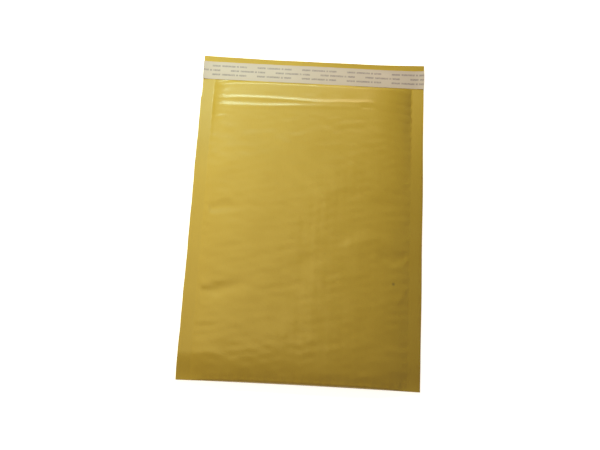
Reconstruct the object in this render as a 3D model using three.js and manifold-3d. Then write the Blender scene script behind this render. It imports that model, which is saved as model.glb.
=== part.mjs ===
// Padded envelope, unused, lying on its back with the flap laid out flat.
//
// One folded sheet of brown paper makes the back, the bottom fold, the front and the flap.
// Its sides are fused into flat seams. A folded sheet of bubble film lines it, and a band of
// adhesive under a release liner crosses the flap.
//
// Millimetres. X runs across, Y from the bottom fold to the flap, Z up. The back lies on Z = 0
// and the origin is under the middle of the whole envelope.

import * as THREE from "three";
import { mergeVertices } from "three/addons/utils/BufferGeometryUtils.js";
import Module from "manifold-3d";

const wasm = await Module();
wasm.setup();
const { clamp, lerp, smoothstep } = THREE.MathUtils;

// ---------------------------------------------------------------- driving dimensions

const WIDTH = 240;
const LENGTH = 345; // bottom fold to the flap's edge
const PAPER = 0.25; // thickness of the cover's sheet
const SEAM_WIDTH = 13; // fused band along each side
const SEAM_HEIGHT = 4.4; // where front and back meet in the seams, above the table
const ROOF = 11.6; // inside of the front panel at the middle, above the table
const FLAP_LENGTH = 26.5; // flap's edge to the mouth, at the seams

const FOLD_RADIUS = 5; // rounding of the bottom fold, along the length
const FOLD_ROOF = 8.8; // inside of the front panel just above the bottom fold
const FOLD_RISE = 40; // length over which the front rises from FOLD_ROOF to ROOF
const BACK_FLAT = 92; // half width of the back that lies flat on the table
const PAD_SQUARENESS = 10; // power of the padded section's superellipse

// Ridges and the valley below them that cross the front at the lining's top.
const RIDGES = [
  { below: 3, halfWidth: 2.2, rise: 0.35 },
  { below: 12, halfWidth: 2.8, rise: 0.5 },
  { below: 16.5, halfWidth: 3, rise: -0.5 },
];

const LIP_LENGTH = 17.5; // front panel above the lining, at the seams
const LIP_ROOF = 9.4; // inside of the front panel at the middle of the mouth
const LIP_SET_BACK = 4.2; // how far the arched lip draws back at the middle of the mouth
const LIP_BLEND = 6; // length over which the padded section turns into the arch
const ARCH_SQUARENESS = 5; // how flat the arch is before it comes down to the seams
const SEAM_DROP = 84; // length over which the seams come down to the table at the mouth

const FILM_GAP = 0.2; // between the cover and the lining
const FILM = 3; // thickness of the bubble film
const POCKET_HALF_WIDTH = 97;
const POCKET_END = 8; // pocket's end above the bottom fold
const POCKET_ROUNDING = 6; // radius of the pocket's end
const POCKET_SQUARENESS = 24;

const LINER_WIDTH = 20;
const LINER_THICKNESS = 0.12;
const LINER_MARGIN = 6.2; // bare flap above the liner
const LINER_CURL = 1.2; // lift of the liner's free ends
const LINER_CURL_LENGTH = 12;
const ADHESIVE_WIDTH = 15;
const ADHESIVE_THICKNESS = 0.1;
const ADHESIVE_END = 4; // bare paper at each end of the adhesive
const STRIP_GAP = 0.1; // between the flap, the adhesive and the liner

// ---------------------------------------------------------------- worked out from them

const SIDE = WIDTH / 2;
const PAD_SIDE = SIDE - SEAM_WIDTH; // where the seams begin
const BOTTOM = -LENGTH / 2;
const FLAP_EDGE = LENGTH / 2;
const MOUTH = FLAP_EDGE - FLAP_LENGTH;
const LINING_TOP = MOUTH - LIP_LENGTH;
const INNER_BOTTOM = BOTTOM + PAPER;
const RIDGE_ZONE = 22; // length below the lining's top where the rows are close together

// ---------------------------------------------------------------- the envelope's form

/** Height of the side seams, which come down to the table towards the mouth. */
const seamLevel = (y) =>
  lerp(SEAM_HEIGHT, PAPER, smoothstep(y, MOUTH - SEAM_DROP, MOUTH));

/** A smooth ridge of height 1 across the envelope. */
const ridge = (y, middle, halfWidth) => Math.exp(-(((y - middle) / halfWidth) ** 2));

/** Rounding of an end: a quarter ellipse from 0 at the end to 1 a radius further on. */
const roundEnd = (y, end, radius) =>
  Math.sqrt(1 - clamp((end + radius - y) / radius, 0, 1) ** 2);

/** Squareness of the padded section: a superellipse, 1 at the middle and 0 at the side. */
const crown = (x, side, power) => Math.sqrt(1 - Math.min(1, Math.abs(x / side)) ** power);

/** The mouth's arch: 1 at the middle and 0 where the seams begin. */
const arch = (x) => 1 - Math.min(1, Math.abs(x / PAD_SIDE)) ** ARCH_SQUARENESS;

/** Inside of the front panel along the middle, with the ridges at the lining's top. */
function frontCrest(y) {
  let body = lerp(FOLD_ROOF, ROOF, smoothstep(y, BOTTOM, BOTTOM + FOLD_RISE));
  for (const { below, halfWidth, rise } of RIDGES) {
    body += rise * ridge(y, LINING_TOP - below, halfWidth);
  }
  return lerp(body, LIP_ROOF, smoothstep(y, LINING_TOP - 1, MOUTH - LIP_SET_BACK));
}

/** Inside of the front panel. */
function frontInside(x, y) {
  const level = seamLevel(y);
  const lip = smoothstep(y, LINING_TOP - LIP_BLEND, MOUTH);
  const section = lerp(crown(x, PAD_SIDE, PAD_SQUARENESS), arch(x), lip);
  return level + section * roundEnd(y, INNER_BOTTOM, FOLD_RADIUS) * (frontCrest(y) - level);
}

/** Inside of the back panel: flat on the table between the seams. */
function backInside(x, y) {
  const level = seamLevel(y);
  const flat = 1 - smoothstep(Math.abs(x), BACK_FLAT, PAD_SIDE);
  return level - flat * roundEnd(y, INNER_BOTTOM, FOLD_RADIUS) * (level - PAPER);
}

/** The front panel's top edge, drawn back where it is arched. */
const mouthEdge = (x) => MOUTH - LIP_SET_BACK * arch(x);

// ---------------------------------------------------------------- solids from two surfaces

/** Numbers from a to b in so many equal steps, both ends included. */
const steps = (a, b, count) =>
  Array.from({ length: count + 1 }, (_, i) => lerp(a, b, i / count));

/**
 * The closed solid between two surfaces over a grid of columns (x) and rows. Each row is
 * { y, top, bottom }, three functions of x. Where the surfaces meet, the wall is left out.
 */
function between(columns, rows) {
  const points = [];
  for (const side of ["bottom", "top"]) {
    for (const row of rows) {
      for (const x of columns) points.push(x, row.y(x), row[side](x));
    }
  }
  const across = columns.length;
  const layer = across * rows.length;
  const faces = [];
  const quad = (a, b, c, d) => faces.push(a, b, c, a, c, d);
  for (let j = 0; j + 1 < rows.length; j++) {
    for (let i = 0; i + 1 < across; i++) {
      const k = j * across + i;
      quad(k, k + across, k + across + 1, k + 1);
      quad(layer + k, layer + k + 1, layer + k + across + 1, layer + k + across);
    }
  }
  for (let i = 0; i + 1 < across; i++) {
    const last = layer - across + i;
    quad(i, i + 1, layer + i + 1, layer + i);
    quad(last + 1, last, layer + last, layer + last + 1);
  }
  for (let j = 0; j + 1 < rows.length; j++) {
    const left = j * across;
    const right = left + across - 1;
    quad(left + across, left, layer + left, layer + left + across);
    quad(right, right + across, layer + right + across, layer + right);
  }
  return solidOf(points, faces);
}

/** A manifold solid from loose points and faces, without the faces of no area. */
function solidOf(points, faces) {
  const loose = new THREE.BufferGeometry();
  loose.setAttribute("position", new THREE.Float32BufferAttribute(points, 3));
  loose.setIndex(faces);
  const merged = mergeVertices(loose, 1e-4);
  const index = merged.index.array;
  const kept = [];
  for (let k = 0; k < index.length; k += 3) {
    const [a, b, c] = index.slice(k, k + 3);
    if (a !== b && b !== c && c !== a) kept.push(a, b, c);
  }
  return new wasm.Manifold(
    new wasm.Mesh({
      numProp: 3,
      vertProperties: merged.attributes.position.array,
      triVerts: new Uint32Array(kept),
    }),
  );
}

/** A named mesh of a solid. */
function piece(name, solid, material) {
  const { vertProperties, triVerts } = solid.getMesh();
  const geometry = new THREE.BufferGeometry();
  geometry.setAttribute("position", new THREE.BufferAttribute(vertProperties, 3));
  geometry.setIndex(new THREE.BufferAttribute(triVerts, 1));
  geometry.computeVertexNormals();
  const mesh = new THREE.Mesh(geometry, material);
  mesh.name = name;
  return mesh;
}

// ---------------------------------------------------------------- shared grid

/** Columns to a side, closer together near it. */
const columnsTo = (side, count) =>
  steps(-Math.PI / 2, Math.PI / 2, count).map((angle) => side * Math.sin(angle));

const padColumns = columnsTo(PAD_SIDE, 18);
const coverColumns = [-SIDE, ...padColumns, SIDE];

/** Lengthwise places of the rows, from the bottom fold to the lining's top. */
const roundedRows = steps(0, Math.PI / 2, 5).map(
  (angle) => INNER_BOTTOM + FOLD_RADIUS * (1 - Math.cos(angle)),
);
const risingRows = steps(INNER_BOTTOM + FOLD_RADIUS, BOTTOM + FOLD_RISE, 3).slice(1);
const plainRows = steps(BOTTOM + FOLD_RISE, LINING_TOP - RIDGE_ZONE, 5).slice(1);
const ridgeRows = steps(LINING_TOP - RIDGE_ZONE, LINING_TOP, 9).slice(1);
const padRows = [...roundedRows, ...risingRows, ...plainRows, ...ridgeRows];

/** Rows of the lip, which end on the arched edge of the mouth. */
const lipRows = steps(0, 1, 4)
  .slice(1)
  .map((share) => (x) => lerp(LINING_TOP, mouthEdge(x), share));

const straight = (y) => () => y;

// ---------------------------------------------------------------- paper cover

/** One sheet: back, bottom fold, front and flap, fused along both sides. */
function paperCover(material) {
  const panelRow = (y) => ({
    y,
    top: (x) => frontInside(x, y(x)) + PAPER,
    bottom: (x) => backInside(x, y(x)) - PAPER,
  });
  const flapRow = (y) => ({
    y,
    top: (x) => backInside(x, y(x)),
    bottom: (x) => backInside(x, y(x)) - PAPER,
  });
  const hollowRow = (y) => ({
    y,
    top: (x) => frontInside(x, y(x)),
    bottom: (x) => backInside(x, y(x)),
  });
  const pastMouth = (x) => mouthEdge(x) + 1;
  const panelRows = [...padRows.map(straight), ...lipRows];
  const flapRows = [mouthEdge, pastMouth, straight(MOUTH + 2), straight(FLAP_EDGE)];
  const whole = between(coverColumns, [
    ...[straight(BOTTOM), ...panelRows].map(panelRow),
    ...flapRows.map(flapRow),
  ]);
  const hollow = between(padColumns, [...panelRows, pastMouth].map(hollowRow));
  return piece("paper_cover", whole.subtract(hollow), material);
}

// ---------------------------------------------------------------- bubble film lining

/** One folded sheet of film, open at the top and pressed thin into the seams. */
function bubbleLining(material) {
  const outerRow = (y) => ({
    y: straight(y),
    top: (x) => frontInside(x, y) - FILM_GAP,
    bottom: (x) => backInside(x, y) + FILM_GAP,
  });
  const pocketBottom = BOTTOM + POCKET_END;
  const pocketRow = (y) => ({
    y: straight(y),
    top: (x) => pocketSurface(x, y, 1),
    bottom: (x) => pocketSurface(x, y, -1),
  });
  const pocketSurface = (x, y, side) => {
    const roof = frontInside(x, y) - FILM_GAP - FILM;
    const floor = backInside(x, y) + FILM_GAP + FILM;
    const fullness =
      crown(x, POCKET_HALF_WIDTH, POCKET_SQUARENESS) * roundEnd(y, pocketBottom, POCKET_ROUNDING);
    return (roof + floor) / 2 + (side * fullness * (roof - floor)) / 2;
  };
  const foldEdge = roundedRows[1] + FILM_GAP;
  const film = between(
    padColumns.slice(1, -1),
    [foldEdge, ...padRows.slice(2)].map(outerRow),
  );
  const pocketRounded = steps(0, Math.PI / 2, 3).map(
    (angle) => pocketBottom + POCKET_ROUNDING * (1 - Math.cos(angle)),
  );
  const pocketStraight = padRows.filter((y) => y > pocketBottom + POCKET_ROUNDING + 1);
  const pocket = between(
    columnsTo(POCKET_HALF_WIDTH, 14),
    [...pocketRounded, ...pocketStraight, LINING_TOP + 1].map(pocketRow),
  );
  return piece("bubble_lining", film.subtract(pocket), material);
}

// ---------------------------------------------------------------- adhesive and its liner

const stripMiddle = FLAP_EDGE - LINER_MARGIN - LINER_WIDTH / 2;

/** The flat band of adhesive on the flap. */
function adhesiveStrip(material) {
  const band = new THREE.BoxGeometry(
    WIDTH - 2 * ADHESIVE_END,
    ADHESIVE_WIDTH,
    ADHESIVE_THICKNESS,
  );
  const mesh = new THREE.Mesh(band, material);
  mesh.name = "adhesive_strip";
  mesh.position.set(0, stripMiddle, PAPER + STRIP_GAP + ADHESIVE_THICKNESS / 2);
  return mesh;
}

/** The release liner over the adhesive, whose free ends lift a little. */
function releaseLiner(material) {
  const level = PAPER + ADHESIVE_THICKNESS + 2 * STRIP_GAP;
  const pastBend = (x) => Math.max(0, Math.abs(x) - SIDE + LINER_CURL_LENGTH);
  const lift = (x) => LINER_CURL * (pastBend(x) / LINER_CURL_LENGTH) ** 2;
  const row = (y) => ({
    y: straight(y),
    top: (x) => level + lift(x) + LINER_THICKNESS,
    bottom: (x) => level + lift(x),
  });
  const ends = steps(SIDE - LINER_CURL_LENGTH, SIDE, 4);
  const columns = [...ends.map((x) => -x).reverse(), ...ends];
  const edges = [stripMiddle - LINER_WIDTH / 2, stripMiddle + LINER_WIDTH / 2];
  return piece("release_liner", between(columns, edges.map(row)), material);
}

// ---------------------------------------------------------------- assembly

const brownPaper = new THREE.MeshStandardMaterial({ color: 0xb8923a, roughness: 0.45 });
const clearFilm = new THREE.MeshStandardMaterial({ color: 0xdde4e6, roughness: 0.3 });
const adhesive = new THREE.MeshStandardMaterial({ color: 0xe3d6ae, roughness: 0.35 });
const linerPaper = new THREE.MeshStandardMaterial({ color: 0xdacdc3, roughness: 0.5 });

const envelope = new THREE.Group();
envelope.add(
  paperCover(brownPaper),
  bubbleLining(clearFilm),
  adhesiveStrip(adhesive),
  releaseLiner(linerPaper),
);

export default envelope;
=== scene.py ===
"""Looks of a padded envelope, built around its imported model.

The envelope is unused and lies on its back with the flap laid out flat. Lengths in this file
are millimetres in the row frame: X across, Y from the bottom fold to the flap, Z up. Meshes
are written in metres.
"""
import logging
import math
from dataclasses import dataclass, field
from enum import Enum
from typing import Callable

import bpy
import numpy as np
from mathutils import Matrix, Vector


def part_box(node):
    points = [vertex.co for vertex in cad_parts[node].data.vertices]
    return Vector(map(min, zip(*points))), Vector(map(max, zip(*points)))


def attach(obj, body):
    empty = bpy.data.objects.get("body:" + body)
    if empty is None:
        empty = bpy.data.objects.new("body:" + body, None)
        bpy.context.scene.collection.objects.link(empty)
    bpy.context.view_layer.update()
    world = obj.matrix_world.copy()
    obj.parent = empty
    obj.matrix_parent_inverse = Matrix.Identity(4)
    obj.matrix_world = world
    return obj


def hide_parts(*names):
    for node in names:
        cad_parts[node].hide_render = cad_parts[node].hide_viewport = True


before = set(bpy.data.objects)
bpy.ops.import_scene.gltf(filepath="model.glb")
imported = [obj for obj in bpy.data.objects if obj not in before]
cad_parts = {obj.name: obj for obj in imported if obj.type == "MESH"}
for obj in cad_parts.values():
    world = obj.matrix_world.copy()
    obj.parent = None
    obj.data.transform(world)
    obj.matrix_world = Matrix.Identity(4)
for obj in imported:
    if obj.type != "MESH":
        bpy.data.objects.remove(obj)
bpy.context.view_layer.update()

LOG = logging.getLogger("padded_envelope")
MM = 0.001

Pair = tuple[float, float]
Triple = tuple[float, float, float]
Colour = tuple[float, float, float, float]


class Slot(Enum):
    """The record's material slots."""

    BROWN_PAPER = "brown_paper"
    BUBBLE_FILM = "bubble_film"
    HOT_MELT = "hot_melt"
    LINER_PAPER = "liner_paper"


# ------------------------------------------------------------------------- plain functions


def smooth(value: np.ndarray, start: float, end: float) -> np.ndarray:
    """Smooth step, 3s^2 - 2s^3 of the share s of the way from start to end.

    Args:
        value: Where to take it.
        start: The value at and before which it is 0.
        end: The value at and past which it is 1.

    Returns:
        The step at each value.
    """
    share = np.clip((value - start) / (end - start), 0.0, 1.0)
    return share * share * (3.0 - 2.0 * share)


def bell(value: np.ndarray, middle: float, half_width: float) -> np.ndarray:
    """Gaussian bell of height 1: e to the minus square of the distance in half widths."""
    return np.exp(-(((value - middle) / half_width) ** 2))


def blend(first: np.ndarray, second: np.ndarray, share: np.ndarray) -> np.ndarray:
    """Straight mix of two fields: the first where share is 0, the second where it is 1."""
    return first + (second - first) * share


def rows_between(first: np.ndarray, last: np.ndarray, count: int) -> np.ndarray:
    """Evenly spaced rows of places, from the first row to the last."""
    return blend(first, last, np.linspace(0, 1, count)[:, None])


def spline(points: tuple[Pair, ...], steps: int = 6) -> np.ndarray:
    """Catmull-Rom curve through points: on each stretch a cubic whose slope at a point is
    half the step between its neighbours.

    Args:
        points: The points that the curve passes through.
        steps: Straight pieces between one point and the next.

    Returns:
        The curve's points, one row each.
    """
    route = np.array(points, float)
    padded = np.vstack([2 * route[0] - route[1], route, 2 * route[-1] - route[-2]])
    before, here, there, after = padded[:-3], padded[1:-2], padded[2:-1], padded[3:]
    t = np.linspace(0, 1, steps, endpoint=False)[:, None, None]
    curve = 0.5 * (
        2 * here
        + (there - before) * t
        + (2 * before - 5 * here + 4 * there - after) * t**2
        + (3 * here - before - 3 * there + after) * t**3
    )
    return np.vstack([curve.transpose(1, 0, 2).reshape(-1, 2), route[-1:]])


def off_line(route: np.ndarray, x: np.ndarray, y: np.ndarray) -> tuple[np.ndarray, np.ndarray]:
    """Distance of points from a line of straight pieces, and how far along it they are.

    Args:
        route: The line's points, one row each.
        x: The points' places across.
        y: The points' places along the length.

    Returns:
        The distance, positive on the left of the line's direction, and the share of the
        line's length at its nearest place.
    """
    steps = np.diff(route, axis=0)
    lengths = np.linalg.norm(steps, axis=1)
    starts = np.concatenate([[0.0], np.cumsum(lengths)])
    best = np.full(x.shape, np.inf)
    signed = np.zeros(x.shape)
    share = np.zeros(x.shape)
    for place, step, length, start in zip(route, steps, lengths, starts):
        dx, dy = x - place[0], y - place[1]
        t = np.clip((dx * step[0] + dy * step[1]) / length**2, 0.0, 1.0)
        gap = np.hypot(dx - t * step[0], dy - t * step[1])
        nearer = gap < best
        best = np.where(nearer, gap, best)
        left = np.sign(step[0] * dy - step[1] * dx)
        signed = np.where(nearer, gap * left, signed)
        share = np.where(nearer, (start + t * length) / starts[-1], share)
    return signed, share


# -------------------------------------------------------------------------- relief in paper


@dataclass(frozen=True)
class BubbleLattice:
    """Hexagonal lattice of air bubbles, with nearest neighbours along the length."""

    pitch: float = 10.15
    start_x: float = 1.2
    start_y: float = -2.0

    @property
    def column_step(self) -> float:
        """Distance between two columns of bubbles."""
        return self.pitch * math.sqrt(3) / 2

    def centres(self, half_width: float, low: float, high: float) -> np.ndarray:
        """Places of the bubbles in a rectangle.

        Args:
            half_width: The rectangle's half width, about X = 0.
            low: Its lower end along Y.
            high: Its upper end along Y.

        Returns:
            The bubbles' X and Y, one row each. Odd columns are shifted by half a pitch.
        """
        count_x = int(half_width / self.column_step) + 2
        count_y = int(max(-low, high) / self.pitch) + 2
        columns, rows = np.meshgrid(
            np.arange(-count_x, count_x + 1), np.arange(-count_y, count_y + 1)
        )
        x = self.start_x + columns * self.column_step
        y = self.start_y + (rows + 0.5 * (columns % 2)) * self.pitch
        inside = (np.abs(x) < half_width) & (y > low) & (y < high)
        return np.stack([x[inside], y[inside]], axis=1)

    def wave(self, x: np.ndarray, y: np.ndarray) -> np.ndarray:
        """Mean of three cosines 60 degrees apart: 1 on each centre, -0.5 between them."""
        total = np.zeros(np.broadcast(x, y).shape)
        k = 2 * math.pi / self.column_step
        for turn in (0.0, math.pi / 3, 2 * math.pi / 3):
            across = (x - self.start_x) * math.cos(turn)
            along = (y - self.start_y) * math.sin(turn)
            total = total + np.cos(k * (across + along))
        return total / 3


@dataclass(frozen=True)
class Cockle:
    """Small random unevenness: a sum of plane waves whose lengths lie in a band."""

    height: float
    shortest: float
    longest: float
    seed: int
    waves: int = 40
    stretch: float = 1.0

    def __call__(self, x: np.ndarray, y: np.ndarray) -> np.ndarray:
        """Height at each place; its root mean square is the height field. The waves are
        drawn out across by the stretch."""
        rng = np.random.default_rng(self.seed)
        total = np.zeros(np.broadcast(x, y).shape)
        for _ in range(self.waves):
            length = rng.uniform(self.shortest, self.longest)
            turn, phase = rng.uniform(0, 2 * math.pi, 2)
            across = x * math.cos(turn) / self.stretch + y * math.sin(turn)
            total = total + np.sin(2 * math.pi * across / length + phase)
        return self.height * total * math.sqrt(2 / self.waves)


@dataclass(frozen=True)
class Crease:
    """A ridge or, with a negative height, a groove along a line in the paper."""

    points: tuple[Pair, ...]
    height: float
    width: float
    other_width: float = 0.0
    tail: float = 0.0
    tail_width: float = 22.0
    ends: Pair = (0.2, 0.2)

    def __call__(self, x: np.ndarray, y: np.ndarray) -> np.ndarray:
        """A bell of one width on the line's left and of the other on its right, fading out
        over the end shares of the line. The tail is the part of the right side's height
        that dies away over the tail width instead."""
        distance, share = off_line(spline(self.points), x, y)
        fade = smooth(share, 0.0, self.ends[0]) * (1 - smooth(share, 1 - self.ends[1], 1.0))
        left = self.height * bell(distance, 0.0, self.width)
        right = (self.height - self.tail) * bell(distance, 0.0, self.other_width or self.width)
        right = right + self.tail * bell(distance, 0.0, self.tail_width)
        return np.where(distance > 0, left, right) * fade


@dataclass(frozen=True)
class Swell:
    """A broad rise or dent: a Gaussian bell over a turned ellipse."""

    x: float
    y: float
    long: float
    short: float
    height: float
    turn: float = 0.0

    def __call__(self, x: np.ndarray, y: np.ndarray) -> np.ndarray:
        """Height at each place."""
        angle = math.radians(self.turn)
        across = (x - self.x) * math.cos(angle) + (y - self.y) * math.sin(angle)
        along = (y - self.y) * math.cos(angle) - (x - self.x) * math.sin(angle)
        return self.height * np.exp(-((across / self.long) ** 2) - (along / self.short) ** 2)


Relief = Callable[[np.ndarray, np.ndarray], np.ndarray]

# Two folds that cross the front where the lining ends, and the valley below them.
TOP_FOLDS: tuple[Relief, ...] = (
    Crease(
        (
            (-112, 125.4), (-95, 123.7), (-76, 122.9), (-45, 122.2), (-15, 121.3), (13, 121.0),
            (29, 122.0), (49, 122.7), (76, 124.6),
        ),
        height=0.38,
        width=2.2,
        other_width=2.0,
        tail=0.15,
        ends=(0.02, 0.12),
    ),
    Crease(
        (
            (-112, 113.9), (-97, 114.9), (-79, 113.8), (-55, 113.1), (-35, 113.9), (-10, 115.4),
            (12, 116.2), (30, 116.6), (54, 117.0),
        ),
        height=0.5,
        width=2.9,
        other_width=2.3,
        tail=0.28,
        ends=(0.02, 0.5),
    ),
    Crease(((-5, 117.0), (15, 117.2), (35, 117.6), (58, 118.6)), 0.3, 4.4, 3.0, 0.1),
    Crease(((62, 124.2), (70, 118.6)), 0.2, 1.6),
    Crease(((50, 117.8), (67, 117.6)), -0.2, 1.8),
    Crease(((75, 126), (86, 113)), 0.16, 2.4),
    Crease(((91, 117.5), (99, 117.9)), -0.12, 1.6),
)

# Creases and dents that handling left in the front.
FRONT_WEAR: tuple[Relief, ...] = (
    Crease(((-102, 1.5), (-90, 2.5), (-78, 3), (-62, 4.5)), -1.15, 6.0, 5.0, ends=(0.1, 0.6)),
    Crease(((-101, 2), (-94, 7.5), (-87, 12), (-76, 12.5)), 0.34, 2.4, 1.8),
    Crease(((-105, -84.5), (-92, -84), (-80, -82), (-66, -79)), -0.6, 2.8, 4.6, ends=(0.1, 0.7)),
    Crease(((-97, -85), (-80, -81.5), (-64, -78.5), (-42, -74)), -1.0, 7.5, 5.0, ends=(0.2, 0.6)),
    Crease(((-104, -79), (-93, -77.5)), 0.24, 2.2),
    Crease(((34, -34), (54, -27.5), (71, -24), (97, -25)), 0.5, 4.6, 3.2, 0.15),
    Crease(((70, -39), (82, -42), (94, -43), (112, -41)), -1.0, 6.5, 5.5, ends=(0.3, 0.35)),
    Crease(((88, -53.5), (95, -51), (110, -44)), 0.5, 4.6, 2.0, ends=(0.4, 0.2)),
    Crease(((79, 29), (88, 26), (98, 23)), -0.34, 2.8),
    Crease(((80, 22), (95, 13)), 0.24, 3.0),
    Crease(((42, -38), (48, -44), (44, -51)), -0.1, 2.2),
    Swell(65, -61, 9, 5, -0.2, 20),
    Crease(((79, -82), (90, -84), (100, -87)), 0.26, 4.0),
    Crease(((92, -89), (100, -81), (112, -70)), 0.5, 5.0, 2.6, ends=(0.4, 0.05)),
    Crease(((57, -108), (67, -102), (77, -98)), -0.12, 2.6),
    Crease(((63, -135), (73, -133.5), (84, -135)), -0.12, 2.4),
    Crease(((-22, -128.4), (1, -127.4)), -0.11, 1.7),
    Crease(((-2, -120), (6, -121.5), (14, -121.8)), -0.1, 1.7),
    Crease(((52, -144), (67, -147)), -0.13, 2.2),
    Crease(((-75, 19.5), (-61, 20.2)), -0.09, 1.7),
    Crease(((-26, 6.3), (-13, 5.8)), -0.09, 1.7),
    Crease(((32, 93), (38, 75), (44, 57)), -0.1, 2.6),
    Swell(-67, 67, 3.5, 3, -0.1),
    Swell(-35, 71, 3.5, 3, -0.1),
    Crease(((14, -160), (46, -159), (76, -160)), 0.2, 4.0),
    Swell(-15, -60, 60, 45, -0.35, 30),
    Swell(20, 40, 55, 40, 0.3, -20),
)


@dataclass(frozen=True)
class Pulls:
    """Short pleats along the seams, where the padding is pinched flat."""

    places: tuple[Pair, ...]
    reach: float = 11.0
    depth: float = 0.32
    width: float = 2.4

    def __call__(self, inward: np.ndarray, y: np.ndarray) -> np.ndarray:
        """A groove at each place, deepest at the seam.

        Args:
            inward: Distance in from the seam.
            y: Place along the seam.

        Returns:
            The height at each place; each entry of places is where and how strong.
        """
        total = np.zeros(np.broadcast(inward, y).shape)
        for place, strength in self.places:
            reach = self.reach * (0.6 + 0.4 * strength)
            fade = np.exp(-((np.maximum(inward, 0) / reach) ** 2))
            total = total - self.depth * strength * fade * bell(y, place, self.width)
        return total


# ------------------------------------------------------------------------ the whole's form


@dataclass(frozen=True)
class EnvelopeForm:
    """The form that the cover, the lining and the strips share. A pair of sizes is for the
    right side and then the left, but the ripples are two sizes of one wavering line."""

    side: float
    bottom: float
    flap_edge: float
    lining_top: float
    paper: float = 0.25
    seam_width: float = 13.0
    seam_height: float = 5.4
    roof: float = 11.6
    fold_roof: float = 5.0
    fold_rise: float = 13.0
    fold_press: float = 3.2
    press_length: float = 28.0
    fold_radius: float = 5.0
    flap_length: float = 26.5
    lip_slope: float = 0.35
    lip_curl: float = 1.9
    lip_set_back: float = 4.3
    lip_blend: float = 6.0
    seam_drop: float = 120.0
    back_flat: float = 92.0
    squareness: Pair = (5.6, 4.6)
    scallop: Pair = (1.1, 0.6)
    arch_power: int = 5
    seam_hang: Pair = (2.5, 0.6)
    edge_curl: float = 0.4
    flap_lift: float = 1.5
    corner_curl: float = 1.1
    corner_length: float = 38.0
    edge_ripples: Pair = (0.25, 0.12)
    flap_ripples: Pair = (0.25, 0.12)
    lattice: BubbleLattice = field(default_factory=BubbleLattice)

    @classmethod
    def from_frame(cls) -> "EnvelopeForm":
        """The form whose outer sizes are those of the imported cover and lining."""
        low, high = (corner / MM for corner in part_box("paper_cover"))
        lining_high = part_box("bubble_lining")[1] / MM
        return cls(side=high.x, bottom=low.y, flap_edge=high.y, lining_top=lining_high.y)

    @property
    def pad_side(self) -> float:
        """Distance from the middle to where the seams begin."""
        return self.side - self.seam_width

    @property
    def mouth(self) -> float:
        """The front panel's top edge at the seams."""
        return self.flap_edge - self.flap_length

    def seam_level(self, y: np.ndarray) -> np.ndarray:
        """Height of the seams: level, slowly down to the table towards the mouth, and down
        over a short way to the pressed bottom fold."""
        drop = smooth(y, self.mouth - self.seam_drop, self.mouth)
        press = self.fold_press * (1 - smooth(y, self.bottom, self.bottom + self.press_length))
        return blend(self.seam_height, self.paper, drop) - press

    def crown(self, x: np.ndarray, y: np.ndarray) -> np.ndarray:
        """Padded section: 1 minus a high power of the share of the way to the scalloped
        seam, so 1 at the middle and 0 at the seam. The left is rounder than the right."""
        bubble = np.abs(np.cos(math.pi * (y - self.lattice.start_y) / self.lattice.pitch))
        edge = self.pad_side - np.where(x > 0, *self.scallop) * (1 - bubble) + 0.2
        share = np.minimum(1.0, np.abs(x / edge))
        return 1.0 - share ** np.where(x > 0, *self.squareness)

    def arch(self, x: np.ndarray) -> np.ndarray:
        """The mouth's arch: 1 at the middle, 0 where the seams begin."""
        return 1.0 - np.minimum(1.0, np.abs(x / self.pad_side)) ** self.arch_power

    def mouth_edge(self, x: np.ndarray) -> np.ndarray:
        """The front panel's top edge, drawn back and wavering where it is arched."""
        slow, quick = self.edge_ripples
        ripple = slow * np.sin(x / 13.0) + quick * np.sin(x / 5.3 + 1.0)
        return self.mouth - self.lip_set_back * self.arch(x) + ripple * self.arch(x)

    def crest(self, y: np.ndarray) -> np.ndarray:
        """Inside of the front along the middle: up from the fold by an exponential, level,
        slowly down past the lining's end, and curled down at the mouth."""
        rise = np.exp(-np.maximum(y - self.bottom, 0.0) / self.fold_rise)
        body = blend(self.roof, self.fold_roof, rise)
        edge = self.mouth - self.lip_set_back
        slope = np.interp(y, (self.lining_top - 6, edge + 3), (0.0, self.lip_slope))
        curl = self.lip_curl * smooth(y, edge - 2.5, edge + 2.0)
        return body - slope - curl

    def front(self, x: np.ndarray, y: np.ndarray) -> np.ndarray:
        """Inside of the front panel: from the seam level up to the crest, by the crown on
        the padding and by the arch on the lip."""
        level = self.seam_level(y)
        lip = smooth(y, self.lining_top - self.lip_blend, self.mouth)
        section = blend(self.crown(x, y), self.arch(x), lip)
        return level + section * (self.crest(y) - level)

    def back(self, x: np.ndarray, y: np.ndarray) -> np.ndarray:
        """Inside of the back panel: flat on the table, up to the seams at the sides."""
        level = self.seam_level(y)
        flat = 1.0 - smooth(np.abs(x), self.back_flat, self.pad_side)
        return level - flat * (level - self.paper)

    def droop(self, x: np.ndarray) -> np.ndarray:
        """How far the seams hang towards their outer edges, the right one further and with
        its very edge curled down."""
        share = np.clip((np.abs(x) - self.pad_side) / self.seam_width, 0.0, 1.0)
        curl = self.edge_curl * smooth(x, self.side - 3.0, self.side + 1.0)
        return np.where(x > 0, *self.seam_hang) * share + curl

    def flap(self, x: np.ndarray, y: np.ndarray) -> np.ndarray:
        """Lift of the flap's sheet off the table: slow waves that grow outwards, a curl at
        one corner, and a bend up along the edge."""
        out = smooth(y, self.mouth - 4.0, self.flap_edge)
        slow, quick = self.flap_ripples
        waves = slow * (1 + np.sin(x / 21.0 + 0.8)) + quick * (1 + np.sin(x / 8.7 + y / 6.0))
        corner = smooth(x, self.side - self.corner_length, self.side)
        corner = corner * smooth(y, self.mouth, self.flap_edge)
        edge = smooth(y, self.flap_edge - 8.0, self.flap_edge + 3.0)
        return out * waves + self.corner_curl * corner + self.flap_lift * edge


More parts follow.
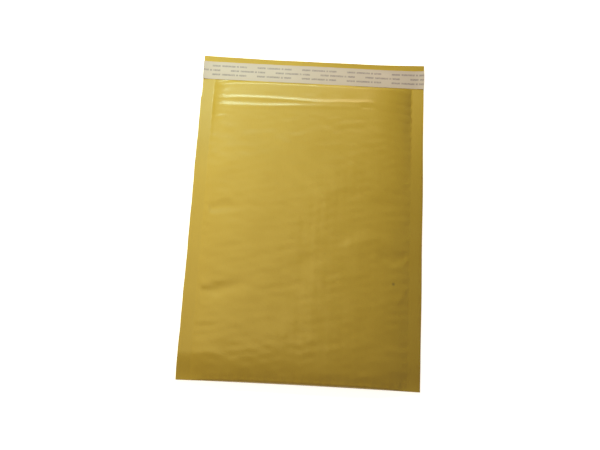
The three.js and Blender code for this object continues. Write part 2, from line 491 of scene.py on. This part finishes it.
@dataclass(frozen=True)
class PaperRelief:
    """What stands out of the plain form: folds, wear, bubbles and unevenness. The bubbles
    fade out upwards over the body's end and are fainter left of the faint side's stretch."""

    form: EnvelopeForm
    bubble_height: float = 0.075
    back_bubble_height: float = 0.07
    patches: Cockle = Cockle(1.0, 40, 90, seed=5, waves=12)
    fine: Cockle = Cockle(0.09, 7, 17, seed=11, stretch=2.6)
    broad: Cockle = Cockle(0.09, 24, 60, seed=12, stretch=2.0)
    lip: Cockle = Cockle(0.05, 16, 40, seed=13)
    back_unevenness: Cockle = Cockle(0.12, 16, 50, seed=21)
    hem_height: float = 0.16
    body_end: Pair = (100, 110)
    faint_side: Pair = (-70, 20)
    faint_share: float = 0.55
    right_pulls: Pulls = Pulls(
        (
            (99, 0.8), (92.5, 0.7), (57, 0.9), (33, 1.0), (12, 0.4), (-14, 0.5), (-50, 1.0),
            (-76, 0.5), (-115, 0.8), (-130, 0.9), (-151, 0.8), (-162, 0.7),
        )
    )
    left_pulls: Pulls = Pulls(
        ((64, 0.4), (38, 0.3), (4, 0.6), (-33, 0.4), (-82, 0.7), (-121, 0.4), (-155, 0.6))
    )

    def padded(self, y: np.ndarray) -> np.ndarray:
        """1 over the lining and 0 past its top."""
        return 1 - smooth(y, self.form.lining_top - 2, self.form.lining_top + 3)

    def front(self, x: np.ndarray, y: np.ndarray) -> np.ndarray:
        """Everything that stands out of the front's plain form: folds as far as the seams,
        wear, bubbles that show more in some patches than in others, unevenness, pleats along
        the seams, and a gathered hem at the bottom fold.

        Args:
            x: Places across.
            y: Places along the length.

        Returns:
            The height at each place, in millimetres.
        """
        form = self.form
        padded = self.padded(y)
        inner = 1 - smooth(np.abs(x), form.pad_side - 6, form.pad_side)
        to_seam = 1 - smooth(np.abs(x), form.pad_side - 3, form.pad_side + 1)
        total = sum(relief(x, y) for relief in TOP_FOLDS) * to_seam
        total = total + sum(relief(x, y) for relief in FRONT_WEAR) * inner
        strength = 0.5 + 0.9 * smooth(self.patches(x, y), -1.0, 1.4)
        strength = strength * blend(self.faint_share, 1.0, smooth(x, *self.faint_side))
        body = inner * (1 - smooth(y, *self.body_end))
        total = total + self.bubble_height * strength * form.lattice.wave(x, y) * body
        total = total + self.fine(x, y) * body
        total = total + self.broad(x, y) * (0.3 * inner + 0.7 * body)
        total = total + self.lip(x, y) * (1 - padded) * inner
        for sign, pulls in ((1, self.right_pulls), (-1, self.left_pulls)):
            inward = form.pad_side - sign * x
            on_side = smooth(inward, -1.0, 3.0) * (sign * x > 0)
            total = total + pulls(inward, y) * on_side * padded
        gather = np.cos(2 * math.pi * (x - form.lattice.start_x) / form.lattice.column_step)
        hem = bell(y, form.bottom + 5.5, 4.0) * inner
        return total + self.hem_height * gather * hem

    def back(self, x: np.ndarray, y: np.ndarray) -> np.ndarray:
        """The bubbles and the unevenness of the back, which stays above the table."""
        form = self.form
        inner = 1 - smooth(np.abs(x), form.pad_side - 10, form.pad_side)
        waves = self.back_bubble_height * (1 - form.lattice.wave(x, y)) * self.padded(y)
        unevenness = np.abs(self.back_unevenness(x, y))
        covered = 1 - smooth(y, form.mouth - 16, form.mouth - 4)
        return (waves + unevenness) * inner * covered


# ----------------------------------------------------------------------------- mesh making


@dataclass
class Shell:
    """Points and faces of a closed surface, in millimetres."""

    points: np.ndarray
    faces: np.ndarray

    def joined(self, other: "Shell") -> "Shell":
        """Both shells as one, with the other's faces numbered after this one's points."""
        return Shell(
            np.vstack([self.points, other.points]),
            np.vstack([self.faces, other.faces + len(self.points)]),
        )


def thicken(grid: np.ndarray, thickness: float) -> Shell:
    """Closed sheet about a middle surface: each point moved half the thickness both ways
    along the surface's normal, and the two layers joined round the rim.

    Args:
        grid: Rows by columns by 3, the middle surface. The cross product of a step down a
            column and a step along a row points to the inner layer.
        thickness: The sheet's thickness.

    Returns:
        The shell.
    """
    normal = np.cross(np.gradient(grid, axis=0), np.gradient(grid, axis=1))
    normal /= np.maximum(np.linalg.norm(normal, axis=2, keepdims=True), 1e-12)
    rows, columns = grid.shape[:2]
    outer = np.arange(rows * columns).reshape(rows, columns)
    inner = outer + rows * columns
    points = np.vstack(
        [
            (grid - normal * thickness / 2).reshape(-1, 3),
            (grid + normal * thickness / 2).reshape(-1, 3),
        ]
    )

    def strip(first: np.ndarray, second: np.ndarray) -> np.ndarray:
        """Quads between two lines of points, first and second running alike."""
        return np.stack([first[:-1], first[1:], second[1:], second[:-1]], axis=-1)

    near, far = slice(None, -1), slice(1, None)
    faces = [
        np.stack([inner[near, near], inner[far, near], inner[far, far], inner[near, far]], -1),
        np.stack([outer[near, near], outer[near, far], outer[far, far], outer[far, near]], -1),
        strip(inner[0], outer[0]),
        strip(outer[-1], inner[-1]),
        strip(outer[:, 0], inner[:, 0]),
        strip(inner[:, -1], outer[:, -1]),
    ]
    return Shell(points, np.vstack([part.reshape(-1, 4) for part in faces]))


def folded(
    back: np.ndarray, front: np.ndarray, turn: np.ndarray, reach: np.ndarray, rows: int
) -> np.ndarray:
    """Two panels of a sheet and the bottom fold between them, a half ellipse at each column.

    Args:
        back: Rows by columns by 3, the back panel from its top to the turn.
        front: The front panel from the turn to its top.
        turn: Where the panels end along Y.
        reach: How far the fold goes past the turn.
        rows: Rows of the fold, with the panels' last ones counted in.

    Returns:
        Rows by columns by 3, the whole sheet.
    """
    angle = np.linspace(-math.pi / 2, math.pi / 2, rows)[1:-1, None]
    low, high = back[-1, :, 2], front[0, :, 2]
    y = turn - reach * np.cos(angle)
    z = (low + high) / 2 + (high - low) / 2 * np.sin(angle)
    fold = np.stack([np.broadcast_to(back[-1, :, 0], y.shape), y, z], axis=-1)
    return np.concatenate([back, fold, front])


def make_object(name: str, shell: Shell, sharp: float = 55.0) -> bpy.types.Object:
    """Puts a shell into a new smooth-shaded object at the origin.

    Args:
        name: The object's name.
        shell: Its surface in millimetres. A face whose last two corners are the same point
            is a triangle.
        sharp: Edges that turn by more than this many degrees stay sharp.

    Returns:
        The object, linked to the scene.
    """
    faces = shell.faces
    triangle = faces[:, 2] == faces[:, 3]
    polygons = faces[~triangle].tolist() + faces[triangle][:, :3].tolist()
    mesh = bpy.data.meshes.new(name)
    mesh.from_pydata((shell.points * MM).tolist(), [], polygons)
    mesh.polygons.foreach_set("use_smooth", np.ones(len(polygons), bool))
    mesh.set_sharp_from_angle(angle=math.radians(sharp))
    mesh.update()
    obj = bpy.data.objects.new(name, mesh)
    bpy.context.scene.collection.objects.link(obj)
    return obj


def finish_piece(
    obj: bpy.types.Object, material: bpy.types.Material, node: str
) -> None:
    """Dresses a piece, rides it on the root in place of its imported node, and reports it.

    Args:
        obj: The piece.
        material: Its finish.
        node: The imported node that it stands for.
    """
    obj.data.materials.append(material)
    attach(obj, "root")
    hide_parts(node)
    triangles = sum(len(face.vertices) - 2 for face in obj.data.polygons)
    LOG.info("%s: %d triangles, for node %s", obj.name, triangles, node)


# ---------------------------------------------------------------------------- shader maths


class Socket:
    """A shader value that takes part in arithmetic by adding Math nodes."""

    def __init__(self, shader: "Shader", link: bpy.types.NodeSocket) -> None:
        """Wraps an output socket of a shader's tree."""
        self.shader = shader
        self.link = link

    def __add__(self, other: "Socket | float") -> "Socket":
        """Sum."""
        return self.shader.maths("ADD", self, other)

    def __mul__(self, other: "Socket | float") -> "Socket":
        """Product."""
        return self.shader.maths("MULTIPLY", self, other)

    def __sub__(self, other: "Socket | float") -> "Socket":
        """Difference."""
        return self.shader.maths("SUBTRACT", self, other)

    def __rsub__(self, other: float) -> "Socket":
        """Difference, taken from a number."""
        return self.shader.maths("SUBTRACT", other, self)

    def __truediv__(self, other: "Socket | float") -> "Socket":
        """Quotient."""
        return self.shader.maths("DIVIDE", self, other)

    def __gt__(self, other: "Socket | float") -> "Socket":
        """1 where this is greater, 0 elsewhere."""
        return self.shader.maths("GREATER_THAN", self, other)

    def __lt__(self, other: "Socket | float") -> "Socket":
        """1 where this is less, 0 elsewhere."""
        return self.shader.maths("LESS_THAN", self, other)

    def absolute(self) -> "Socket":
        """Size without sign."""
        return self.shader.maths("ABSOLUTE", self)

    def fraction(self) -> "Socket":
        """What is left after whole numbers are taken away."""
        return self.shader.maths("FRACT", self)

    def rise(self, start: float, end: float) -> "Socket":
        """Smooth step from 0 at start to 1 at end."""
        node = self.shader.add(
            "ShaderNodeMapRange",
            {"interpolation_type": "SMOOTHSTEP"},
            {"Value": self, "From Min": start, "From Max": end},
        )
        return Socket(self.shader, node.outputs["Result"])


class Shader:
    """A material's node tree, made one node at a time."""

    def __init__(self, name: str) -> None:
        """Starts a material that holds only its output and a Principled shader."""
        self.material = bpy.data.materials.new(name)
        self.material.use_nodes = True
        self.tree = self.material.node_tree
        self.tree.nodes.clear()
        self.surface = self.add("ShaderNodeBsdfPrincipled")
        output = self.add("ShaderNodeOutputMaterial")
        self.tree.links.new(self.surface.outputs["BSDF"], output.inputs["Surface"])
        place = self.add("ShaderNodeTexCoord")
        self.place = Socket(self, place.outputs["Object"])

    def add(
        self, kind: str, settings: dict | None = None, inputs: dict | None = None
    ) -> bpy.types.Node:
        """Adds a node.

        Args:
            kind: The node's type.
            settings: Properties, set first.
            inputs: Values or links for its sockets, by name or number.

        Returns:
            The node.
        """
        node = self.tree.nodes.new(kind)
        for name, value in (settings or {}).items():
            setattr(node, name, value)
        for name, value in (inputs or {}).items():
            self.feed(node.inputs[name], value)
        return node

    def feed(self, socket: bpy.types.NodeSocket, value: object) -> None:
        """Links a shader value to a node's input, or sets the input to a plain value."""
        if isinstance(value, Socket):
            self.tree.links.new(value.link, socket)
        else:
            socket.default_value = value

    def maths(self, operation: str, *values: "Socket | float") -> Socket:
        """One Math node on one or two values."""
        node = self.add("ShaderNodeMath", {"operation": operation}, dict(enumerate(values)))
        return Socket(self, node.outputs[0])

    def axes(self) -> tuple[Socket, Socket, Socket]:
        """The place on the piece along X, Y and Z, in metres."""
        node = self.add("ShaderNodeSeparateXYZ", None, {"Vector": self.place})
        return tuple(Socket(self, node.outputs[axis]) for axis in "XYZ")

    def noise(self, size: float, detail: float = 2.0, stretch: Triple = (1, 1, 1)) -> Socket:
        """Noise from 0 to 1 whose features are about size millimetres across.

        Args:
            size: The features' size.
            detail: How many finer layers it has.
            stretch: How much longer the features are along each axis.

        Returns:
            The noise.
        """
        scaled = self.add(
            "ShaderNodeMapping",
            {"vector_type": "TEXTURE"},
            {"Vector": self.place, "Scale": stretch},
        )
        node = self.add(
            "ShaderNodeTexNoise",
            None,
            {
                "Vector": Socket(self, scaled.outputs["Vector"]),
                "Scale": 1.0 / (size * MM),
                "Detail": detail,
            },
        )
        return Socket(self, node.outputs["Fac"])

    def mix(self, share: "Socket | float", first: object, second: object) -> Socket:
        """Colour mix: the first where share is 0, the second where it is 1."""
        node = self.add("ShaderNodeMix", {"data_type": "RGBA"})
        for index, value in ((0, share), (6, first), (7, second)):
            self.feed(node.inputs[index], value)
        return Socket(self, node.outputs[2])

    def set(self, **inputs: object) -> None:
        """Sets the Principled shader's sockets; an underscore in a name is a space."""
        for name, value in inputs.items():
            self.feed(self.surface.inputs[name.replace("_", " ")], value)

    def bump(self, height: Socket, depth: float) -> None:
        """Bumps the surface by a height from 0 to 1 that is depth millimetres deep."""
        node = self.add("ShaderNodeBump", None, {"Height": height, "Distance": depth * MM})
        self.set(Normal=Socket(self, node.outputs["Normal"]))


@dataclass(frozen=True)
class BrownPaperFinish:
    """Golden brown paper, glazed on its outer side and faintly fibrous."""

    colour: Colour = (0.49, 0.315, 0.026, 1.0)
    pale: Colour = (0.54, 0.36, 0.044, 1.0)
    deep: Colour = (0.41, 0.25, 0.02, 1.0)
    roughness: float = 0.46
    speck_place: Pair = (90.5, -68.2)
    speck_radius: float = 1.9
    speck_colour: Colour = (0.07, 0.06, 0.03, 1.0)

    def make(self) -> bpy.types.Material:
        """Slow clouds, long fibres, darker flecks and one dark speck over the colour."""
        shader = Shader("brown_paper")
        clouds = shader.noise(34.0, 3.0)
        fibres = shader.noise(0.9, 3.0, (1.0, 5.0, 1.0))
        flecks = shader.noise(1.6, 1.0, (1.0, 2.2, 1.0))
        x, y, _ = shader.axes()
        tone = shader.mix(clouds.rise(0.3, 0.75) * 0.35, self.colour, self.pale)
        tone = shader.mix(fibres.rise(0.5, 0.85) * 0.3, tone, self.deep)
        tone = shader.mix(flecks.rise(0.72, 0.82) * 0.35, tone, self.deep)
        tone = shader.mix(self.speck(shader, x, y) * 0.42, tone, self.speck_colour)
        shader.set(
            Base_Color=tone,
            Roughness=fibres * 0.16 + (self.roughness - 0.08),
            Coat_Weight=0.55,
            Coat_Roughness=0.2,
            Specular_IOR_Level=0.5,
        )
        shader.bump(fibres * 0.6 + shader.noise(2.6, 2.0) * 0.4, 0.06)
        return shader.material

    def speck(self, shader: Shader, x: Socket, y: Socket) -> Socket:
        """A soft round mark: 1 in the middle, 0 from a little outside its radius."""
        across = x - self.speck_place[0] * MM
        along = y - self.speck_place[1] * MM
        distance = shader.maths("SQRT", across * across + along * along)
        radius = self.speck_radius * MM
        return 1 - distance.rise(0.3 * radius, 1.2 * radius)


@dataclass(frozen=True)
class BubbleFilmFinish:
    """Clear film that shows the brown paper behind it."""

    colour: Colour = (0.82, 0.86, 0.88, 1.0)

    def make(self) -> bpy.types.Material:
        """Glossy and partly see-through, with a slight haze."""
        shader = Shader("bubble_film")
        haze = shader.noise(6.0, 2.0)
        shader.set(
            Base_Color=self.colour,
            Roughness=haze * 0.15 + 0.12,
            Alpha=haze.rise(0.2, 0.8) * 0.15 + 0.42,
            Specular_IOR_Level=0.7,
        )
        return shader.material


@dataclass(frozen=True)
class AdhesiveFinish:
    """Pale tacky adhesive."""

    colour: Colour = (0.78, 0.70, 0.48, 1.0)

    def make(self) -> bpy.types.Material:
        """Glossy, with slow unevenness from the nozzle."""
        shader = Shader("hot_melt")
        streaks = shader.noise(3.0, 2.0, (6.0, 1.0, 1.0))
        tone = shader.mix(streaks.rise(0.35, 0.7) * 0.4, self.colour, (0.6, 0.5, 0.3, 1.0))
        shader.set(Base_Color=tone, Roughness=streaks * 0.2 + 0.15)
        shader.bump(streaks, 0.08)
        return shader.material


@dataclass(frozen=True)
class LinerFinish:
    """Off-white silicone paper with three rows of faint printed bars. A row is its Y and
    the X where its words start over, and a word is its start and end within the repeat."""

    colour: Colour = (0.52, 0.42, 0.41, 1.0)
    ink: Colour = (0.17, 0.13, 0.17, 1.0)
    rows: tuple[Pair, ...] = ((161.6, 36.2), (156.6, 7.4), (151.7, 36.2))
    repeat: float = 48.9
    words: tuple[Pair, ...] = ((0, 9), (10.5, 25), (26.2, 28.4), (29.6, 37.5))
    bar_height: float = 2.0

    def make(self) -> bpy.types.Material:
        """Bars placed by the fraction of X over the repeat, one set of words a row."""
        shader = Shader("liner_paper")
        x, y, _ = shader.axes()
        print_mask: Socket | float = 0.0
        for row, start in self.rows:
            place = ((x - start * MM) / (self.repeat * MM)).fraction() * self.repeat
            line = (y - row * MM).absolute() < self.bar_height * MM / 2
            for first, last in self.words:
                print_mask = (place > first) * (place < last) * line + print_mask
        worn = shader.noise(1.3, 2.0).rise(0.3, 0.62)
        cloud = shader.noise(30.0, 2.0)
        tone = shader.mix(cloud.rise(0.3, 0.7) * 0.25, self.colour, (0.58, 0.48, 0.46, 1.0))
        tone = shader.mix(print_mask * (worn * 0.35 + 0.3), tone, self.ink)
        shader.set(Base_Color=tone, Roughness=cloud * 0.1 + 0.38, Coat_Weight=0.15)
        shader.bump(shader.noise(1.1, 2.0), 0.02)
        return shader.material


# --------------------------------------------------------------------------------- pieces


@dataclass
class PaperCover:
    """One folded sheet: flap, back, bottom fold and front, glued along both sides."""

    form: EnvelopeForm
    relief: PaperRelief
    finish: BrownPaperFinish = field(default_factory=BrownPaperFinish)
    glue: float = 0.03
    off_table: float = 0.02
    side_bow: float = 0.9
    side_step: float = 0.7
    side_waver: Pair = (0.12, 0.08)
    right_waver: float = 0.15
    fold_bow: float = 0.8
    flap_bow: float = 1.1
    seam_zone: float = 9.0
    ridge_zone: float = 26.0
    seam_columns: int = 22
    middle_columns: int = 100
    flap_rows: int = 19
    back_rows: int = 90
    body_rows: int = 126
    top_rows: int = 50
    fold_rows: int = 13

    def columns(self) -> np.ndarray:
        """Places across, closer together at the seams than in the middle."""
        form = self.form
        bend = form.pad_side - self.seam_zone
        right = np.linspace(bend, form.side, self.seam_columns)
        middle = np.linspace(-bend, bend, self.middle_columns)[1:-1]
        return np.concatenate([-right[::-1], middle, right])

    def outline(self, x: np.ndarray, y: np.ndarray) -> np.ndarray:
        """Places across with the left side bowed in, stepped out below the lining's top and
        wavering, and the right side wavering a little. Only the seams' width is moved."""
        form = self.form
        share = smooth(np.abs(x), form.pad_side, form.side)
        along = np.clip((y - form.bottom) / (form.flap_edge - form.bottom), 0, 1)
        step = self.side_step * smooth(-y, -form.lining_top, -form.lining_top + 6)
        bow = self.side_bow * np.sin(math.pi * along) - step
        slow, quick = self.side_waver
        waver = slow * np.sin(y / 11.0) + quick * np.sin(y / 4.1)
        return x + share * np.where(x < 0, bow + waver, self.right_waver * np.sin(y / 17.0))

    def sheet(self, y: np.ndarray, height: np.ndarray) -> np.ndarray:
        """Points of the back or the front, with the flap's lift and the seams' hang added.

        Args:
            y: Rows by columns, the places along the length.
            height: The height of the sheet's middle before those are added.

        Returns:
            Rows by columns by 3.
        """
        form = self.form
        x = np.broadcast_to(self.columns()[None, :], y.shape)
        off_seam = (form.seam_level(y) - form.paper) / form.seam_height
        z = height + form.flap(x, y) - form.droop(x) * off_seam
        return np.stack([self.outline(x, y), y, z], axis=-1)

    def middle_surface(self) -> np.ndarray:
        """Middle of the sheet, from the flap's edge down the back, half round the bottom
        fold, and up the front to the mouth."""
        form = self.form
        across = self.columns()[None, :]
        fullness = form.crown(across, np.full(across.shape, form.bottom))
        fold_reach = 0.18 + (form.fold_radius - 0.4) * fullness
        bow = 1.0 - (across / form.side) ** 2
        end = form.bottom + form.paper / 2 + self.fold_bow * bow
        turn = end + fold_reach
        flap_edge = form.flap_edge - self.flap_bow * bow

        flap_start = form.mouth - 5.0
        flap_y = rows_between(flap_edge, flap_start, self.flap_rows)
        y = np.vstack([flap_y, rows_between(flap_start, turn, self.back_rows)[1:]])
        x = np.broadcast_to(across, y.shape)
        inset = (form.paper + self.glue) / 2
        height = form.back(x, y) + self.relief.back(x, y) - inset + self.off_table
        back = self.sheet(y, height)

        ridge_start = form.lining_top - self.ridge_zone
        top_y = rows_between(ridge_start, form.mouth_edge(across), self.top_rows)
        y = np.vstack([rows_between(turn, ridge_start, self.body_rows), top_y[1:]])
        x = np.broadcast_to(across, y.shape)
        front = self.sheet(y, form.front(x, y) + self.relief.front(x, y) + inset)
        return folded(back, front, turn, fold_reach, self.fold_rows)

    def build(self) -> None:
        """Makes and dresses the cover."""
        cover = make_object("paper_cover_sheet", thicken(self.middle_surface(), self.form.paper))
        finish_piece(cover, self.finish.make(), "paper_cover")


@dataclass
class BubbleLining:
    """Folded bubble film: a flat film against the paper and a dome over each bubble. The
    dome's profile lists shares of its radius and of its height, from the film up. Bubbles
    keep the margins from the seams, the bottom fold and the top."""

    form: EnvelopeForm
    relief: PaperRelief
    finish: BubbleFilmFinish = field(default_factory=BubbleFilmFinish)
    film: float = 0.1
    gap: float = 0.3
    least_space: float = 0.25
    edge_gap: float = 2.4
    fold_gap: float = 1.2
    top_gap: float = 0.6
    margins: Triple = (8, 10, 4)
    least_height: float = 0.3
    dome_radius: float = 4.55
    dome_height: float = 2.9
    dome_profile: tuple[Pair, ...] = ((1.0, 0.0), (0.98, 0.55), (0.80, 0.92), (0.40, 1.0))
    segments: int = 10
    columns: int = 91
    rows: int = 90
    fold_rows: int = 9

    def back_level(self, x: np.ndarray, y: np.ndarray) -> np.ndarray:
        """Middle of the film on the back: the paper's inside, its relief and the gap."""
        return self.form.back(x, y) + self.relief.back(x, y) + self.gap + self.film / 2

    def front_level(self, x: np.ndarray, y: np.ndarray) -> np.ndarray:
        """Middle of the film under the front, kept off the back's film at the seams."""
        under = self.form.front(x, y) + self.relief.front(x, y) - self.gap - self.film / 2
        return np.maximum(under, self.back_level(x, y) + self.least_space)

    def film_surface(self) -> np.ndarray:
        """Middle of the flat film, from the back's top edge round the bottom fold to the
        front's top edge."""
        form = self.form
        across = (form.pad_side - self.edge_gap) * np.linspace(-1, 1, self.columns)[None, :]
        fullness = form.crown(across, np.full(across.shape, form.bottom))
        reach = np.maximum(0.2, (form.fold_radius - self.fold_gap) * fullness)
        turn = form.bottom + self.fold_gap + form.fold_radius
        top = form.lining_top - self.top_gap + 0.35 * np.sin(across / 7.0)
        back_y = rows_between(top, turn, self.rows)
        front_y = back_y[::-1]
        x = np.broadcast_to(across, back_y.shape)
        back = np.stack([x, back_y, self.back_level(x, back_y)], axis=-1)
        front = np.stack([x, front_y, self.front_level(x, front_y)], axis=-1)
        return folded(back, front, turn, reach, self.fold_rows)

    def domes(self, side: int) -> Shell:
        """All the bubbles of one panel at once. A bubble is a closed surface of revolution
        on the film: steep walls, rounded shoulders and a nearly flat top, less high where
        space is short.

        Args:
            side: 1 for the front panel, whose bubbles point down, or -1 for the back.

        Returns:
            The shell of every bubble.
        """
        form = self.form
        side_margin, fold_margin, top_margin = self.margins
        centres = form.lattice.centres(
            form.pad_side - side_margin, form.bottom + fold_margin, form.lining_top - top_margin
        )
        space = self.front_level(*centres.T) - self.back_level(*centres.T)
        height = np.clip(space / 2 - self.least_height, self.least_height, self.dome_height)
        angle = np.arange(self.segments) * 2 * math.pi / self.segments
        circle = np.stack([np.cos(angle), np.sin(angle)], axis=-1)
        radii, rises = np.array(self.dome_profile).T
        radii = radii * self.dome_radius
        plan = centres[:, None, None, :] + radii[:, None, None] * circle
        level = self.front_level if side > 0 else self.back_level
        offset = self.film / 2 + height[:, None, None] * rises[None, :, None]
        z = level(plan[..., 0], plan[..., 1]) - side * offset
        points = np.concatenate([plan, z[..., None]], axis=-1)

        rings, around = len(radii), self.segments
        here = np.arange(around)
        there = (here + 1) % around
        ring = around * np.arange(rings - 1)[:, None]
        walls = np.stack(
            [ring + here, ring + there, ring + around + there, ring + around + here], axis=-1
        ).reshape(-1, 4)
        fan = np.arange(1, around - 1)
        top = np.stack([np.zeros_like(fan), fan, fan + 1, fan + 1], axis=-1)
        top = top + around * (rings - 1)
        base = np.stack([np.zeros_like(fan), fan + 1, fan, fan], axis=-1)
        one = np.vstack([walls, top, base])
        if side > 0:
            triangle = one[:, 2] == one[:, 3]
            one = np.where(triangle[:, None], one[:, [0, 2, 1, 1]], one[:, ::-1])
        count = rings * around
        faces = one[None] + count * np.arange(len(centres))[:, None, None]
        return Shell(points.reshape(-1, 3), faces.reshape(-1, 4))

    def build(self) -> None:
        """Makes and dresses the lining."""
        shell = thicken(self.film_surface(), self.film)
        shell = shell.joined(self.domes(1)).joined(self.domes(-1))
        lining = make_object("bubble_lining_film", shell)
        finish_piece(lining, self.finish.make(), "bubble_lining")


@dataclass
class FlapStrip:
    """A flat strip across the flap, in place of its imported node, that follows the flap."""

    form: EnvelopeForm
    node: str
    slot: Slot
    finish: AdhesiveFinish | LinerFinish
    lift: float
    thickness: float
    past_end: float = 0.0
    curl: float = 0.0
    curl_length: float = 12.0
    ripple: float = 0.0
    columns: int = 161
    rows: int = 11

    def surface(self) -> np.ndarray:
        """Middle of the strip: the flap's height plus the lift, with the ends curled up as
        the square of the distance past the bend, and wavering edges."""
        form = self.form
        low, high = (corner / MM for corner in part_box(self.node))
        half_length = high.x + self.past_end
        across = np.linspace(half_length, -half_length, self.columns)[None, :]
        share = np.linspace(-0.5, 0.5, self.rows)[:, None]
        waver = self.ripple * (np.sin(across / 9.0) + 0.6 * np.sin(across / 3.7 + 2.0))
        y = (low.y + high.y) / 2 + share * (high.y - low.y + waver)
        x = np.broadcast_to(across, y.shape)
        past = np.maximum(0, np.abs(x) - half_length + self.curl_length)
        curl = self.curl * (past / self.curl_length) ** 2
        return np.stack([x, y, form.paper + form.flap(x, y) + self.lift + curl], axis=-1)

    def build(self, name: str) -> None:
        """Makes and dresses the strip."""
        strip = make_object(name, thicken(self.surface(), self.thickness))
        finish_piece(strip, self.finish.make(), self.node)


# ---------------------------------------------------------------------------------- stage


@dataclass(frozen=True)
class AreaLamp:
    """A flat rectangular lamp that faces a point."""

    name: str
    place: Triple
    target: Triple
    size: Pair
    power: float
    colour: Triple = (1.0, 1.0, 1.0)

    def build(self) -> None:
        """Adds the lamp; lengths are in millimetres and the power is in watts."""
        data = bpy.data.lights.new(self.name, "AREA")
        data.shape = "RECTANGLE"
        data.size, data.size_y = (length * MM for length in self.size)
        data.energy = self.power
        data.color = self.colour
        lamp = bpy.data.objects.new(self.name, data)
        lamp.location = Vector(self.place) * MM
        away = Vector(self.place) - Vector(self.target)
        lamp.rotation_euler = away.to_track_quat("Z", "Y").to_euler()
        bpy.context.scene.collection.objects.link(lamp)


@dataclass(frozen=True)
class Stage:
    """Pale floor, soft light and the camera."""

    camera_place: Triple = (-1.9, -142.1, 639.0)
    camera_turn: Triple = (11.63, -0.22, 2.96)
    lens: float = 37.74
    sensor_width: float = 36.0
    floor_half: float = 2500.0
    floor_drop: float = 0.1
    sky: Triple = (0.11, 0.11, 0.165)
    lamps: tuple[AreaLamp, ...] = (
        AreaLamp("window", (-215, 400, 330), (-215, 100, 0), (430, 100), 2.05, (0.7, 1.0, 0.81)),
        AreaLamp("glow", (75, 400, 330), (0, 100, 0), (150, 140), 0.42, (0.95, 0.68, 0.42)),
        AreaLamp("side", (-330, 60, 560), (-20, 30, 0), (500, 800), 2.7, (1.0, 0.81, 0.3)),
    )

    def build(self) -> None:
        """Adds all of it."""
        scene = bpy.context.scene
        self.build_floor()
        for lamp in self.lamps:
            lamp.build()
        world = bpy.data.worlds.new("studio")
        world.use_nodes = True
        background = world.node_tree.nodes["Background"]
        background.inputs["Color"].default_value = (*self.sky, 1.0)
        scene.world = world
        data = bpy.data.cameras.new("camera")
        data.lens = self.lens
        data.sensor_width = self.sensor_width
        camera = bpy.data.objects.new("camera", data)
        camera.location = Vector(self.camera_place) * MM
        camera.rotation_euler = [math.radians(angle) for angle in self.camera_turn]
        scene.collection.objects.link(camera)
        scene.camera = camera
        scene.view_settings.view_transform = "Standard"

    def build_floor(self) -> None:
        """A wide flat pale floor just under the envelope."""
        half, drop = self.floor_half * MM, self.floor_drop * MM
        corners = [(-half, -half, -drop), (half, -half, -drop), (half, half, -drop)]
        mesh = bpy.data.meshes.new("floor")
        mesh.from_pydata([*corners, (-half, half, -drop)], [], [(0, 1, 2, 3)])
        floor = bpy.data.objects.new("floor", mesh)
        shader = Shader("floor")
        shader.set(Base_Color=(0.85, 0.85, 0.84, 1.0), Roughness=0.9)
        shader.set(Emission_Color=(1.0, 1.0, 1.0, 1.0), Emission_Strength=0.75)
        mesh.materials.append(shader.material)
        bpy.context.scene.collection.objects.link(floor)


def main() -> None:
    """Builds the envelope and its stage."""
    logging.basicConfig(level=logging.INFO, format="%(name)s: %(message)s")
    Stage().build()
    form = EnvelopeForm.from_frame()
    relief = PaperRelief(form)
    PaperCover(form, relief).build()
    BubbleLining(form, relief).build()
    FlapStrip(
        form, "adhesive_strip", Slot.HOT_MELT, AdhesiveFinish(), 0.12, 0.09, ripple=0.25
    ).build("adhesive_band")
    FlapStrip(
        form, "release_liner", Slot.LINER_PAPER, LinerFinish(), 0.24, 0.08, 0.2, 1.3, ripple=0.06
    ).build("printed_liner")


if __name__ == "__main__":
    main()
